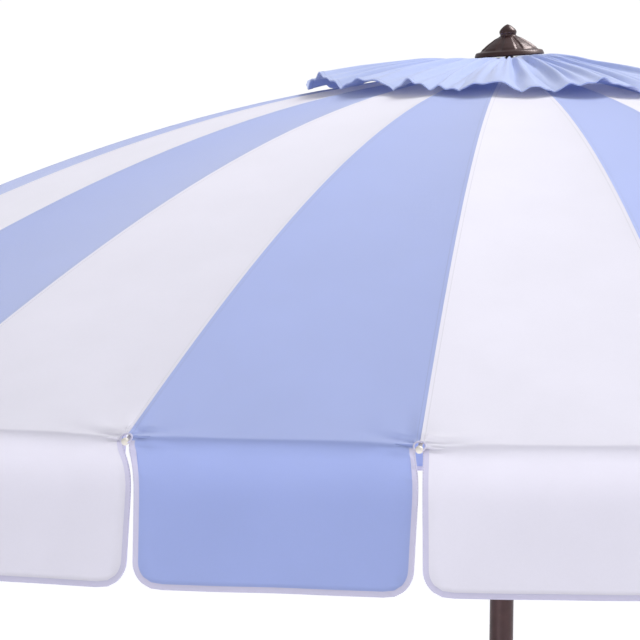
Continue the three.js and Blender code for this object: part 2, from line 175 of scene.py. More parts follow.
def make_studio():
    world = bpy.data.worlds.new("studio")
    bpy.context.scene.world = world
    world.use_nodes = True
    nodes, links = world.node_tree.nodes, world.node_tree.links
    seen = nodes.new("ShaderNodeBackground")
    seen.inputs["Strength"].default_value = 1.02
    path = nodes.new("ShaderNodeLightPath")
    mix = nodes.new("ShaderNodeMixShader")
    fill = nodes["Background"]
    fill.inputs["Color"].default_value = (0.93, 0.95, 1.0, 1)
    seen.inputs["Color"].default_value = (1, 1, 1, 1)
    way = nodes.new("ShaderNodeSeparateXYZ")
    links.new(nodes.new("ShaderNodeTexCoord").outputs["Generated"], way.inputs[0])
    spread = nodes.new("ShaderNodeMapRange")        # dimmer from -X, brighter from +X
    for socket, value in (("From Min", -1), ("From Max", 1), ("To Min", 0.38), ("To Max", 0.86)):
        spread.inputs[socket].default_value = value
    links.new(way.outputs["X"], spread.inputs["Value"])
    links.new(spread.outputs["Result"], fill.inputs["Strength"])
    links.new(path.outputs["Is Camera Ray"], mix.inputs["Fac"])
    links.new(fill.outputs[0], mix.inputs[1])
    links.new(seen.outputs[0], mix.inputs[2])
    links.new(mix.outputs[0], nodes["World Output"].inputs["Surface"])
    target = (0, 0, 2.1)
    area_light("key", (5.0, 3.5, 10.0), target, 5.0, 1100, (1.0, 0.995, 0.985))
    area_light("front", (-4.0, -9.0, 2.2), target, 4.0, 95, (0.98, 0.97, 1.0))
    scene = bpy.context.scene
    scene.view_settings.view_transform = "Standard"
    scene.view_settings.look = "None"


def make_floor():
    bpy.ops.mesh.primitive_circle_add(vertices=96, radius=70, fill_type="NGON")
    floor = bpy.context.object
    floor.name = "floor"
    material = bpy.data.materials.new("floor_paint")
    material.use_nodes = True
    shader = material.node_tree.nodes["Principled BSDF"]
    shader.inputs["Base Color"].default_value = (0.86, 0.86, 0.87, 1)
    shader.inputs["Roughness"].default_value = 0.9
    shader.inputs["Emission Color"].default_value = (1, 1, 1, 1)
    shader.inputs["Emission Strength"].default_value = 0.5
    floor.data.materials.append(material)
    floor.location.z = -0.0005


# ---- materials -------------------------------------------------------------------------------
class Shade:
    """A material's node tree, with short ways to add to it."""

    def __init__(self, name, colour, roughness, metallic=0.0):
        self.material = bpy.data.materials.new(name)
        self.material.use_nodes = True
        self.nodes = self.material.node_tree.nodes
        self.links = self.material.node_tree.links
        self.shader = self.nodes["Principled BSDF"]
        self.shader.inputs["Base Color"].default_value = (*colour, 1)
        self.shader.inputs["Roughness"].default_value = roughness
        self.shader.inputs["Metallic"].default_value = metallic

    def node(self, kind, **inputs):
        made = self.nodes.new(kind)
        for key, value in inputs.items():
            made.inputs[key.replace("_", " ")].default_value = value
        return made

    def math(self, operation, first, second=None):
        made = self.nodes.new("ShaderNodeMath")
        made.operation = operation
        for socket, value in zip(made.inputs, (first, second)):
            if isinstance(value, (int, float)):
                socket.default_value = value
            elif value is not None:
                self.links.new(value, socket)
        return made.outputs[0]

    def noise(self, coordinates, scale, detail=4.0):
        made = self.node("ShaderNodeTexNoise", Scale=scale, Detail=detail)
        self.links.new(coordinates, made.inputs["Vector"])
        return made.outputs["Fac"]

    def colours(self, factor, dark, light, low=0.3, high=0.7):
        ramp = self.nodes.new("ShaderNodeValToRGB")
        ramp.color_ramp.elements[0].position = low
        ramp.color_ramp.elements[0].color = (*dark, 1)
        ramp.color_ramp.elements[1].position = high
        ramp.color_ramp.elements[1].color = (*light, 1)
        self.links.new(factor, ramp.inputs["Fac"])
        return ramp.outputs["Color"]

    def paint(self, colour):
        self.links.new(colour, self.shader.inputs["Base Color"])

    def rough(self, factor, low, high):
        spread = self.nodes.new("ShaderNodeMapRange")
        spread.inputs["To Min"].default_value = low
        spread.inputs["To Max"].default_value = high
        self.links.new(factor, spread.inputs["Value"])
        self.links.new(spread.outputs["Result"], self.shader.inputs["Roughness"])

    def bump(self, height, strength, distance):
        made = self.node("ShaderNodeBump", Strength=strength, Distance=distance)
        self.links.new(height, made.inputs["Height"])
        self.links.new(made.outputs["Normal"], self.shader.inputs["Normal"])
        return made.outputs["Normal"]


def srgb(red, green, blue):
    return tuple((c / 255 / 12.92) if c <= 10 else ((c / 255 + 0.055) / 1.055) ** 2.4
                 for c in (red, green, blue))


def shaded(colour, factor):
    return tuple(c * factor for c in colour)


def woven(name, colour, through, thread=0.0011):
    """Plain-weave cloth: crossing threads, faint slubs and dye drift, a line of stitches along each seam."""
    shade = Shade(name, colour, 0.86)
    uv = shade.nodes.new("ShaderNodeUVMap")
    uv.uv_map = "cloth"
    edge = shade.nodes.new("ShaderNodeUVMap")
    edge.uv_map = "edge"
    flat = shade.nodes.new("ShaderNodeSeparateXYZ")
    shade.links.new(uv.outputs["UV"], flat.inputs[0])
    near = shade.nodes.new("ShaderNodeSeparateXYZ")
    shade.links.new(edge.outputs["UV"], near.inputs[0])
    turns = 2 * math.pi / thread
    warp = shade.math("SINE", shade.math("MULTIPLY", flat.outputs[0], turns))
    weft = shade.math("SINE", shade.math("MULTIPLY", flat.outputs[1], turns))
    weave = shade.math("MULTIPLY", warp, weft)
    slub = shade.noise(uv.outputs["UV"], 260.0, 3.0)
    drift = shade.noise(uv.outputs["UV"], 7.0, 5.0)
    tone = shade.math("ADD", shade.math("MULTIPLY", drift, 0.75), shade.math("MULTIPLY", slub, 0.25))
    cloth = shade.colours(tone, shaded(colour, 0.975), shaded(colour, 1.02), 0.3, 0.7)
    height = shade.math("ADD", shade.math("MULTIPLY", weave, 0.5), shade.math("MULTIPLY", slub, 0.6))
    away = shade.math("ABSOLUTE", shade.math("SUBTRACT", near.outputs[0], 0.0052))
    on_line = shade.math("LESS_THAN", away, 0.0006)
    dash = shade.math("FRACT", shade.math("DIVIDE", near.outputs[1], 0.0042))
    stitch = shade.math("MULTIPLY", on_line, shade.math("LESS_THAN", dash, 0.62))
    mix = shade.nodes.new("ShaderNodeMix")
    mix.data_type = "RGBA"
    shade.links.new(stitch, mix.inputs["Factor"])
    shade.links.new(cloth, mix.inputs["A"])
    mix.inputs["B"].default_value = (*shaded(colour, 0.8), 1)
    cloth = mix.outputs["Result"]
    height = shade.math("SUBTRACT", height, shade.math("MULTIPLY", stitch, 1.2))
    shade.paint(cloth)
    shade.rough(slub, 0.80, 0.92)
    normal = shade.bump(height, 0.35, 0.00035)
    shade.shader.inputs["Sheen Weight"].default_value = 0.55
    shade.shader.inputs["Sheen Roughness"].default_value = 0.5
    shade.shader.inputs["Specular IOR Level"].default_value = 0.25
    glow = shade.nodes.new("ShaderNodeBsdfTranslucent")
    shade.links.new(cloth, glow.inputs["Color"])
    shade.links.new(normal, glow.inputs["Normal"])
    mix = shade.nodes.new("ShaderNodeMixShader")
    mix.inputs["Fac"].default_value = through
    shade.links.new(shade.shader.outputs[0], mix.inputs[1])
    shade.links.new(glow.outputs[0], mix.inputs[2])
    shade.links.new(mix.outputs[0], shade.nodes["Material Output"].inputs["Surface"])
    return shade.material


def powder_coat(name, colour):
    """Metal under a bronze powder coat: orange-peel surface, drifting tone, slight rub marks."""
    shade = Shade(name, colour, 0.42, 0.35)
    place = shade.nodes.new("ShaderNodeTexCoord").outputs["Object"]
    peel = shade.noise(place, 900.0, 2.0)
    cloud = shade.noise(place, 38.0, 5.0)
    rub = shade.noise(place, 160.0, 6.0)
    worn = shade.colours(rub, (0, 0, 0), (1, 1, 1), 0.66, 0.74)
    base = shade.colours(cloud, shaded(colour, 0.78), shaded(colour, 1.22), 0.3, 0.7)
    mix = shade.nodes.new("ShaderNodeMix")
    mix.data_type = "RGBA"
    shade.links.new(shade.math("MULTIPLY", worn, 0.35), mix.inputs["Factor"])
    shade.links.new(base, mix.inputs["A"])
    mix.inputs["B"].default_value = (*shaded(colour, 1.9), 1)
    shade.paint(mix.outputs["Result"])
    shade.rough(cloud, 0.30, 0.42)
    shade.bump(peel, 0.25, 0.0003)
    return shade.material


def moulded(name, colour, roughness, grain):
    """Moulded plastic or resin, with a fine spark-eroded grain and faint tone drift."""
    shade = Shade(name, colour, roughness)
    place = shade.nodes.new("ShaderNodeTexCoord").outputs["Object"]
    fine = shade.noise(place, grain, 3.0)
    cloud = shade.noise(place, 30.0, 4.0)
    shade.paint(shade.colours(cloud, shaded(colour, 0.88), shaded(colour, 1.1)))
    shade.rough(fine, roughness - 0.07, roughness + 0.08)
    shade.bump(fine, 0.2, 0.0002)
    return shade.material


def brushed(name, colour):
    shade = Shade(name, colour, 0.32, 1.0)
    place = shade.nodes.new("ShaderNodeTexCoord").outputs["Object"]
    stretch = shade.nodes.new("ShaderNodeMapping")
    stretch.inputs["Scale"].default_value = (1, 1, 0.04)
    shade.links.new(place, stretch.inputs["Vector"])
    lines = shade.noise(stretch.outputs["Vector"], 1800.0, 2.0)
    shade.paint(shade.colours(lines, shaded(colour, 0.85), shaded(colour, 1.08)))
    shade.rough(lines, 0.25, 0.42)
    shade.bump(lines, 0.15, 0.0001)
    return shade.material


def braided(name, colour):
    shade = Shade(name, colour, 0.8)
    place = shade.nodes.new("ShaderNodeTexCoord").outputs["Object"]
    split = shade.nodes.new("ShaderNodeSeparateXYZ")
    shade.links.new(place, split.inputs[0])
    lift = shade.math("MULTIPLY", split.outputs[2], 2400.0)
    side = shade.math("MULTIPLY", shade.math("ADD", split.outputs[0], split.outputs[1]), 2400.0)
    one = shade.math("SINE", shade.math("ADD", lift, side))
    two = shade.math("SINE", shade.math("SUBTRACT", lift, side))
    braid = shade.math("MAXIMUM", one, two)
    # The grooves between the strands, where the bump is lowest, are painted down to 0.6 of the cord's colour:
    # painted shade in the braid's recesses.
    shade.paint(shade.colours(braid, shaded(colour, 0.6), shaded(colour, 1.05), 0.0, 0.8))
    shade.bump(braid, 0.5, 0.0005)
    return shade.material


BLUE = srgb(168, 182, 232)
WHITE = srgb(236, 233, 243)
CAP_BLUE = srgb(200, 212, 247)
BINDING = srgb(207, 203, 226)

MATERIALS = {
    "canopy_blue": woven("cloth_blue", BLUE, 0.16),
    "canopy_white": woven("cloth_white", WHITE, 0.16),
    "cap_blue": woven("cloth_cap", CAP_BLUE, 0.28),
    "binding": woven("tape", BINDING, 0.05, thread=0.0007),
    "bronze": powder_coat("bronze_coat", srgb(67, 45, 43)),
    "steel": brushed("bare_steel", (0.6, 0.6, 0.62)),
    "fibreglass": moulded("resin_rod", srgb(226, 219, 208), 0.38, 500.0),
    "black_plastic": moulded("black_mould", srgb(44, 41, 42), 0.5, 1400.0),
    "cord": braided("cord_braid", srgb(214, 209, 200)),
}


# ---- making pieces ---------------------------------------------------------------------------
def piece(name, vertices, faces, body, slot, face_slots=None, angle=40):
    mesh = bpy.data.meshes.new(name)
    mesh.from_pydata([tuple(v) for v in vertices], [], faces)
    mesh.update()
    obj = bpy.data.objects.new(name, mesh)
    bpy.context.collection.objects.link(obj)
    slots = [slot] if face_slots is None else [slot, "binding"]
    for key in slots:
        mesh.materials.append(MATERIALS[key])
    if face_slots is not None:
        mesh.polygons.foreach_set("material_index", np.asarray(face_slots, dtype=np.int32))
    mesh.polygons.foreach_set("use_smooth", np.ones(len(mesh.polygons), dtype=bool))
    mesh.set_sharp_from_angle(angle=math.radians(angle))
    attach(obj, body)
    return obj


def add_uv(obj, name, values):
    """values: one (u, v) per vertex."""
    layer = obj.data.uv_layers.new(name=name)
    corners = np.empty(len(obj.data.loops), dtype=np.int32)
    obj.data.loops.foreach_get("vertex_index", corners)
    layer.data.foreach_set("uv", np.asarray(values, dtype=np.float32)[corners].ravel())


def grid_normals(points):
    down = np.gradient(points, axis=0)
    across = np.gradient(points, axis=1)
    normal = np.cross(across, down)
    return normal / np.maximum(np.linalg.norm(normal, axis=2, keepdims=True), 1e-12)


def cloth_piece(name, points, thickness, cloth, edge, body, slot, taped=None):
    """A closed sheet from a grid of points on its middle surface; thickness, cloth and edge are per point."""
    rows, columns, _ = points.shape
    half = (thickness / 2)[..., None] * grid_normals(points)
    vertices = np.concatenate([(points + half).reshape(-1, 3), (points - half).reshape(-1, 3)])
    count = rows * columns
    index = np.arange(count).reshape(rows, columns)
    marked = np.zeros((rows - 1, columns - 1), dtype=bool) if taped is None else taped
    faces, slots = [], []
    for i in range(rows - 1):
        for j in range(columns - 1):
            a, b, c, d = (int(x) for x in (
                index[i, j], index[i + 1, j], index[i + 1, j + 1], index[i, j + 1]))
            faces += [(a, d, c, b), (a + count, b + count, c + count, d + count)]
            slots += [int(marked[i, j])] * 2
    border = [(index[0, j], index[0, j + 1], 0, j) for j in range(columns - 1)]
    border += [(index[i, -1], index[i + 1, -1], i, columns - 2) for i in range(rows - 1)]
    border += [(index[-1, j + 1], index[-1, j], rows - 2, j) for j in reversed(range(columns - 1))]
    border += [(index[i + 1, 0], index[i, 0], i, 0) for i in reversed(range(rows - 1))]
    for a, b, i, j in border:
        a, b = int(a), int(b)
        faces.append((a, a + count, b + count, b))
        slots.append(int(marked[i, j]))
    obj = piece(name, vertices, faces, body, slot, slots if taped is not None else None)
    add_uv(obj, "cloth", np.concatenate([cloth.reshape(-1, 2)] * 2))
    add_uv(obj, "edge", np.concatenate([edge.reshape(-1, 2)] * 2))
    return obj


def turned(name, profile, body, slot, sides=64, angle=35, shape=None):
    """A turned solid from (radius, height) points, from axis to axis or closed on itself."""
    closed = profile[0] == profile[-1]
    rings = profile[:-1] if closed else profile
    vertices, starts = [], []
    for radius, height in rings:
        starts.append(len(vertices))
        if radius == 0:
            vertices.append((0, 0, height))
            continue
        for side in range(sides):
            a = 2 * math.pi * side / sides
            grown = radius + (shape(a, radius, height) if shape else 0)
            vertices.append((grown * math.cos(a), grown * math.sin(a), height))
    faces = []
    pairs = list(zip(range(len(rings)), range(1, len(rings))))
    if closed:
        pairs.append((len(rings) - 1, 0))
    for low, high in pairs:
        for side in range(sides):
            after = (side + 1) % sides
            one, two = [starts[low]], [starts[high]]
            if rings[low][0]:
                one = [starts[low] + side, starts[low] + after]
            if rings[high][0]:
                two = [starts[high] + after, starts[high] + side]
            if len(one) + len(two) > 2:
                faces.append(tuple(one + two))
    return piece(name, vertices, faces, body, slot, angle=angle)


def sweep(points, radius, sides=12):
    """Vertices and faces of a round bar along points in the X-Z plane."""
    points = np.asarray(points, float)
    tangent = np.gradient(points, axis=0)
    tangent /= np.linalg.norm(tangent, axis=1, keepdims=True)
    across = np.broadcast_to((0.0, 1.0, 0.0), tangent.shape)
    lift = np.cross(tangent, across)
    lift /= np.linalg.norm(lift, axis=1, keepdims=True)
    angles = np.arange(sides) * 2 * math.pi / sides
    ring = np.cos(angles)[None, :, None] * across[:, None] + np.sin(angles)[None, :, None] * lift[:, None]
    vertices = (points[:, None] + ring * radius).reshape(-1, 3)
    faces = []
    for i in range(len(points) - 1):
        for side in range(sides):
            after = (side + 1) % sides
            low, high = i * sides, (i + 1) * sides
            faces.append((low + side, high + side, high + after, low + after))
    faces.append(tuple(range(sides)))
    faces.append(tuple((len(points) - 1) * sides + side for side in reversed(range(sides))))
    return vertices, faces


def gather(parts):
    vertices, faces, start = [], [], 0
    for some, polygons in parts:
        vertices.append(np.asarray(some))
        faces += [tuple(i + start for i in polygon) for polygon in polygons]
        start += len(some)
    return np.concatenate(vertices), faces


def round_bar(at, axis, radius, length, sides=24, bevel=0.0006):
    """A short turned bar with eased ends, centred on at."""
    axis = np.asarray(axis, float) / np.linalg.norm(axis)
    other = np.array([0, 0, 1.0]) if abs(axis[2]) < 0.9 else np.array([1.0, 0, 0])
    first = np.cross(axis, other)
    first /= np.linalg.norm(first)
    second = np.cross(axis, first)
    rings = [(-length / 2, radius - bevel), (-length / 2 + bevel, radius),
             (length / 2 - bevel, radius), (length / 2, radius - bevel)]
    angles = np.arange(sides) * 2 * math.pi / sides
    vertices = []
    for height, size in rings:
        for a in angles:
            spoke = math.cos(a) * first + math.sin(a) * second
            vertices.append(np.asarray(at) + axis * height + size * spoke)
    faces = []
    for i in range(3):
        for side in range(sides):
            after = (side + 1) % sides
            low, high = i * sides, (i + 1) * sides
            faces.append((low + side, low + after, high + after, high + side))
    faces.append(tuple(reversed(range(sides))))
    faces.append(tuple(3 * sides + side for side in range(sides)))
    return np.array(vertices), faces


def ball(at, radius, columns=20, rows=12):
    vertices = [np.asarray(at) + (0, 0, radius)]
    for row in range(1, rows):
        polar = math.pi * row / rows
        for column in range(columns):
            a = 2 * math.pi * column / columns
            vertices.append(np.asarray(at) + radius * np.array(
                [math.sin(polar) * math.cos(a), math.sin(polar) * math.sin(a), math.cos(polar)]))
    vertices.append(np.asarray(at) - (0, 0, radius))
    faces = []
    for column in range(columns):
        after = (column + 1) % columns
        faces.append((0, 1 + column, 1 + after))
        for row in range(rows - 2):
            a, b = 1 + row * columns, 1 + (row + 1) * columns
            faces.append((a + column, b + column, b + after, a + after))
        last = 1 + (rows - 2) * columns
        faces.append((len(vertices) - 1, last + after, last + column))
    return np.array(vertices), faces


def loop_ring(at, normal, major, minor, columns=28, rows=10):
    normal = np.asarray(normal, float) / np.linalg.norm(normal)
    first = np.cross(normal, (0, 0, 1.0))
    first /= np.linalg.norm(first)
    second = np.cross(normal, first)
    vertices = []
    for column in range(columns):
        a = 2 * math.pi * column / columns
        arm = math.cos(a) * first + math.sin(a) * second
        for row in range(rows):
            b = 2 * math.pi * row / rows
            reach = arm * (major + minor * math.cos(b))
            vertices.append(np.asarray(at) + reach + normal * minor * math.sin(b))
    faces = []
    for column in range(columns):
        after = (column + 1) % columns
        for row in range(rows):
            up = (row + 1) % rows
            here, there = column * rows, after * rows
            faces.append((here + row, there + row, there + up, here + up))
    return np.array(vertices), faces


def eased_plate(outline, thickness, side):
    """A plate in the X-Z plane, centred on y = side, with eased edges."""
    shape = bmesh.new()
    loop = [shape.verts.new((x, side - thickness / 2, z)) for x, z in outline]
    face = shape.faces.new(loop)
    made = bmesh.ops.extrude_face_region(shape, geom=[face])
    top = [v for v in made["geom"] if isinstance(v, bmesh.types.BMVert)]
    bmesh.ops.translate(shape, verts=top, vec=(0, thickness, 0))
    bmesh.ops.recalc_face_normals(shape, faces=shape.faces)
    bmesh.ops.bevel(shape, geom=list(shape.edges), offset=0.0005, segments=2, affect="EDGES")
    mesh = bpy.data.meshes.new("plate")
    shape.to_mesh(mesh)
    shape.free()
    vertices = np.array([v.co for v in mesh.vertices])
    faces = [tuple(p.vertices) for p in mesh.polygons]
    bpy.data.meshes.remove(mesh)
    return vertices, faces


def turn_about_pole(vertices, angle):
    """From drawn along +X to the rib at angle."""
    u, a = out(angle), around(angle)
    vertices = np.asarray(vertices)
    return vertices[:, :1] * u + vertices[:, 1:2] * a + vertices[:, 2:3] * np.array([0, 0, 1.0])


# ---- canopy ------------------------------------------------------------------------------------
def fold_profile():
    """Outward offset and height of the cloth past the rim line, by the length s along it: over the fold,
    tucked in a little under it, then straight down."""
    lengths = np.linspace(0, 0.26, 1041)
    start = -math.atan(slope(RIB_R))
    lean = (start + (math.radians(124) - start) * smooth(lengths, -0.010, 0.028)
            - math.radians(38) * smooth(lengths, 0.026, 0.090))
    step = lengths[1] - lengths[0]
    offset = np.concatenate([[0], np.cumsum(np.cos(lean[:-1]) * step)])
    height = np.concatenate([[0], np.cumsum(-np.sin(lean[:-1]) * step)])
    return lengths, offset, height


FOLD_S, FOLD_OUT, FOLD_Z = fold_profile()
SKIRT_S = float(np.interp(SKIRT, -FOLD_Z, FOLD_S))


def half_slit(s):
    """Half the gap between two flaps, at s past the rim line: a keyhole round the rib's tip, then a slit."""
    inside = np.clip(KEYHOLE_R ** 2 - (s - KEYHOLE_S) ** 2, 0, None)
    slit = SLIT_TOP + (SLIT_LOW - SLIT_TOP) * smooth(s, 0.02, SKIRT_S)
    return np.maximum(np.sqrt(inside), slit * (s > KEYHOLE_S))


def panel_columns(width):
    inner = np.linspace(TAPE_W + 0.0009, width - TAPE_W - 0.0009, 23)
    return np.concatenate([[0, TAPE_W], inner, [width - TAPE_W, width]])


def panel_rows():
    """Rows as (radius, s): radius inside the rim, then s past it."""
    inside = [(r, 0.0) for r in np.linspace(VENT_R, RIB_R - 0.03, 26)]
    inside += [(RIB_R - d, 0.0) for d in (0.022, 0.015, 0.010)]
    near = [-0.0042, -0.003, -0.0015, 0, 0.002, 0.004, 0.006, 0.008, 0.0105, 0.0135, 0.017, 0.021, 0.026,
            0.032, 0.039, 0.047]
    flap = list(np.linspace(0.058, SKIRT_S - CORNER_R, 9))
    corner = list(SKIRT_S - CORNER_R + (CORNER_R - TAPE_W - 0.0009) * np.linspace(0.2, 1, 5))
    last = [SKIRT_S - TAPE_W, SKIRT_S]
    return inside + [(RIB_R, s) for s in near + flap + corner + last]


def rounded(x, s, half):
    """Pulls the lower corners of a flap in to an arc, keeping lines at one distance from the edge even."""
    a = (abs(x) - (half - CORNER_R)) / CORNER_R
    b = (s - (SKIRT_S - CORNER_R)) / CORNER_R
    if a <= 0 or b <= 0:
        return x, s
    shrink = max(a, b) / math.hypot(a, b)
    x = math.copysign(half - CORNER_R + a * shrink * CORNER_R, x)
    return x, SKIRT_S - CORNER_R + b * shrink * CORNER_R


def tip_creases(along, down, phase):
    """Small creases that run out from a rib's tip."""
    distance = np.hypot(along, down)
    angle = np.arctan2(down, along)
    fade = np.exp(-distance / 0.040) * smooth(distance, 0.005, 0.014)
    return 0.0036 * fade * (np.sin(8.5 * angle + phase) + 0.5 * np.sin(15 * angle + 2 * phase))


def row_runs(rows):
    """How far each row lies along the cloth from the vent's edge."""
    runs = [0.0]
    for (r0, s0), (r1, s1) in zip(rows, rows[1:]):
        past_rim = r0 == RIB_R and r1 == RIB_R
        step = abs(s1 - s0) if past_rim else math.hypot(r1 - r0, float(line_z(r1) - line_z(r0)))
        runs.append(runs[-1] + step)
    return runs


def inner_point(t, radius, s, width):
    """Side, reach and height of a point inside the rim: t across the panel, s below 0 beside the keyhole."""
    x = (t - 0.5) * width
    if s < 0:
        x = math.copysign(min(abs(x), width / 2 - float(half_slit(s))), x)
        radius = RIB_R + s * math.cos(math.atan(slope(RIB_R)))
        return x, radius * math.cos(STEP / 2), float(line_z(radius))
    belly = 4 * t * (1 - t)
    share = min(1, (radius - VENT_R) / (RIB_R - VENT_R))
    sag = 0.0065 * belly * math.sin(math.pi * share) ** 0.8
    return x, radius * math.cos(STEP / 2), float(line_z(radius)) - sag


def flap_point(t, s, chord, phases, swing):
    """Side, reach and height of a point on the skirt: t across the flap, s along the cloth past the rim."""
    half = chord / 2 - float(half_slit(np.float64(s)))
    x, s = rounded((t - 0.5) * 2 * half, s, half)
    offset = float(np.interp(s, FOLD_S, FOLD_OUT))
    hang = float(smooth(s, 0.03, SKIRT_S))
    wave = (0.0045 * math.sin(2 * math.pi * (x / chord) * 1.1 + phases[0])
            + 0.0022 * math.sin(2 * math.pi * (x / chord) * 2.7 + phases[1])) * hang
    wave += 0.006 * swing * hang * (x / chord)
    slack = 0.0025 * math.cos(math.pi * x / chord) * float(smooth(s, 0.0, 0.02))
    reach = RIB_R * math.cos(STEP / 2) + offset + wave - slack
    return x, reach, RIM_Z + float(np.interp(s, FOLD_S, FOLD_Z))


def tape_marks(rows, columns):
    """Thickness at every point, and which faces the binding covers: a flap's two sides and its hem."""
    past = np.array([s if radius == RIB_R else -1.0 for radius, s in rows])
    bound = past >= 0.008
    thickness = np.full((len(rows), columns), CLOTH)
    taped = np.zeros((len(rows) - 1, columns - 1), dtype=bool)
    for side in (slice(0, 2), slice(-2, None)):
        thickness[bound, side] = TAPE
    thickness[-2:, :] = TAPE
    thickness[0, :] = TAPE
    taped[bound[:-1], 0] = True
    taped[bound[:-1], -1] = True
    taped[-1, :] = True
    return thickness, taped


def make_panel(number, random):
    """One panel between two ribs, with its flap in the same piece, held by the first of them."""
    first, second = rib_angle(number), rib_angle(number + 1)
    middle = (first + second) / 2
    outward, side = out(middle), around(middle)
    chord = 2 * RIB_R * math.sin(STEP / 2)
    rows, base = panel_rows(), panel_columns(chord)
    runs = row_runs(rows)
    phases = random.uniform(0, 2 * math.pi, 6)
    swing = random.uniform(-1, 1, 3)
    points = np.zeros((len(rows), len(base), 3))
    cloth = np.zeros((len(rows), len(base), 2))
    edge = np.zeros((len(rows), len(base), 2))
    for i, (radius, s) in enumerate(rows):
        width = chord * radius / RIB_R
        for j, across in enumerate(base):
            t = across / chord
            if s < 0 or radius < RIB_R:
                x, reach, height = inner_point(t, radius, s, width)
            else:
                x, reach, height = flap_point(t, s, chord, phases, swing[0])
            points[i, j] = outward * reach + side * x + np.array([0, 0, height])
            cloth[i, j] = (x, runs[i])
            edge[i, j] = (width / 2 - abs(x), runs[i])
    down = np.array([(r - RIB_R) * 1.14 if r < RIB_R else s for r, s in rows])[:, None]
    left = base[None, :]
    crease = tip_creases(left, down, phases[2]) + tip_creases(chord - left, down, phases[3])
    ripple = 0.0012 * np.sin(26 * left + phases[4]) * np.exp(-np.abs(down - 0.02) / 0.05)
    points = points + grid_normals(points) * (crease + ripple)[..., None]
    thickness, taped = tape_marks(rows, len(base))
    slot = "canopy_white" if number % 2 else "canopy_blue"
    body = f"rib_{number:02d}"
    panel = cloth_piece(f"panel_{number:02d}", points, thickness, cloth, edge, body, slot, taped)
    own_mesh(panel)
    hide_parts("canopy")


# ---- vent cap ------------------------------------------------------------------------------------
CAP_RANDOM = np.random.RandomState(11)
DIPS = [-80, -54.5, -33.6, -22.2, -13.8, 3.4, 12.6, 39.9]   # degrees from -Y: the hem lies on the canopy
LIFTS = [0.021, 0.016, 0.014, 0.006, 0.014, 0.007, 0.0175]  # how far it stands up in between
while DIPS[-1] < 255:
    DIPS.append(DIPS[-1] + CAP_RANDOM.uniform(11, 27))
    LIFTS.append(0.0007 * (DIPS[-1] - DIPS[-2]) + CAP_RANDOM.uniform(-0.001, 0.003))
DIPS[-1] = DIPS[0] + 360
DIPS, LIFTS = np.array(DIPS), np.array(LIFTS)
CAP_FOLDS = [(int(n), p, a) for n, p, a in zip(
    CAP_RANDOM.randint(24, 78, 12), CAP_RANDOM.uniform(0, 6.28, 12), CAP_RANDOM.uniform(0.25, 1.0, 12))]


def hem_lift(degrees):
    """How far the hem stands up off the canopy, and how far it is from a dip: scallops of uneven width."""
    turn = (degrees - DIPS[0]) % 360 + DIPS[0]
    which = np.clip(np.searchsorted(DIPS, turn, side="right") - 1, 0, len(LIFTS) - 1)
    within = (turn - DIPS[which]) / (DIPS[which + 1] - DIPS[which])
    arch = np.sin(math.pi * np.clip(within, 0, 1)) ** 0.7
    flutter = 0.12 * np.sin(math.pi * 5 * within + which) * arch
    return LIFTS[which] * (arch + flutter), arch


def cap_height(radius, angle):
    """Height of the cap's cloth: down at the hem's dips, standing up between them, gathered at the hub."""
    q = (radius - CAP_HUB_R) / (CAP_R - CAP_HUB_R)
    positive = np.clip(q, 0, None)
    low = CAP_TOP_Z + (CAP_HEM_Z - CAP_TOP_Z) * positive ** 1.4
    skew = 7 * (1 - np.clip(q, 0, 1)) * np.sin(3 * angle + 1)
    lift, arch = hem_lift(np.degrees(angle) + skew)
    low = low + lift * positive ** 1.35
    folds = sum(a * np.sin(n * angle + p) for n, p, a in CAP_FOLDS)
    low = low + 0.0015 * folds * smooth(q, -0.1, 0.25) * (1 - smooth(q, 0.7, 1.0) * (1 - 0.6 * arch))
    gathers = np.sin(31 * angle + 0.6) + 0.6 * np.sin(47 * angle + 2.1)
    low = low + 0.0017 * gathers * np.exp(-np.abs(q) / 0.16)
    low = low + FINIAL_TILT * radius * np.sin(angle) * (1 - smooth(q, 0.0, 0.35))
    return low + np.where(q < 0, -q * 0.004, 0)


def cap_grid(radii, angles):
    radius, angle = np.meshgrid(radii, angles, indexing="ij")
    points = np.stack([radius * np.sin(angle), -radius * np.cos(angle), cap_height(radius, angle)], -1)
    return radius, angle, points


def cap_sector(name, radii, angles, body):
    """One sector of the cap, with a doubled hem, in the cap's cloth, attached to the given body."""
    radius, angle, points = cap_grid(radii, angles)
    cloth = np.stack([radius * (angle - angle.mean()), radius], -1)
    edge = np.stack([CAP_R - radius, radius * angle], -1)
    thickness = np.full(radius.shape, CLOTH)
    thickness[-2:, :] = HEM
    obj = cloth_piece(name, points, thickness, cloth, edge, body, "cap_blue")
    set_cap_normals(obj, -1)
    return obj


def set_cap_normals(obj, first_half):
    """Normals of the whole cap's surface, so that its sectors meet without a line. first_half is 1 where
    the first half of the vertices is the upper face, and -1 where it is the lower one."""
    count = len(obj.data.vertices)
    co = np.array([v.co for v in obj.data.vertices])
    radius = np.hypot(co[:, 0], co[:, 1])
    angle = np.arctan2(co[:, 0], -co[:, 1])
    d = 0.0008
    by_r = (cap_height(radius + d, angle) - cap_height(radius - d, angle)) / (2 * d)
    by_a = (cap_height(radius, angle + d / radius) - cap_height(radius, angle - d / radius)) / (2 * d)
    out_dir = np.stack([np.sin(angle), -np.cos(angle), np.zeros(count)], -1)
    along = np.stack([np.cos(angle), np.sin(angle), np.zeros(count)], -1)
    normal = -by_r[:, None] * out_dir - by_a[:, None] * along + np.array([0, 0, 1.0])
    normal /= np.linalg.norm(normal, axis=1, keepdims=True)
    normal[:count // 2] *= first_half
    normal[count // 2:] *= -first_half
    corners = []
    for polygon in obj.data.polygons:
        on_one_face = len({v < count // 2 for v in polygon.vertices}) == 1
        for v in polygon.vertices:
            corners.append(tuple(normal[v]) if on_one_face else tuple(polygon.normal))
    obj.data.normals_split_custom_set(corners)


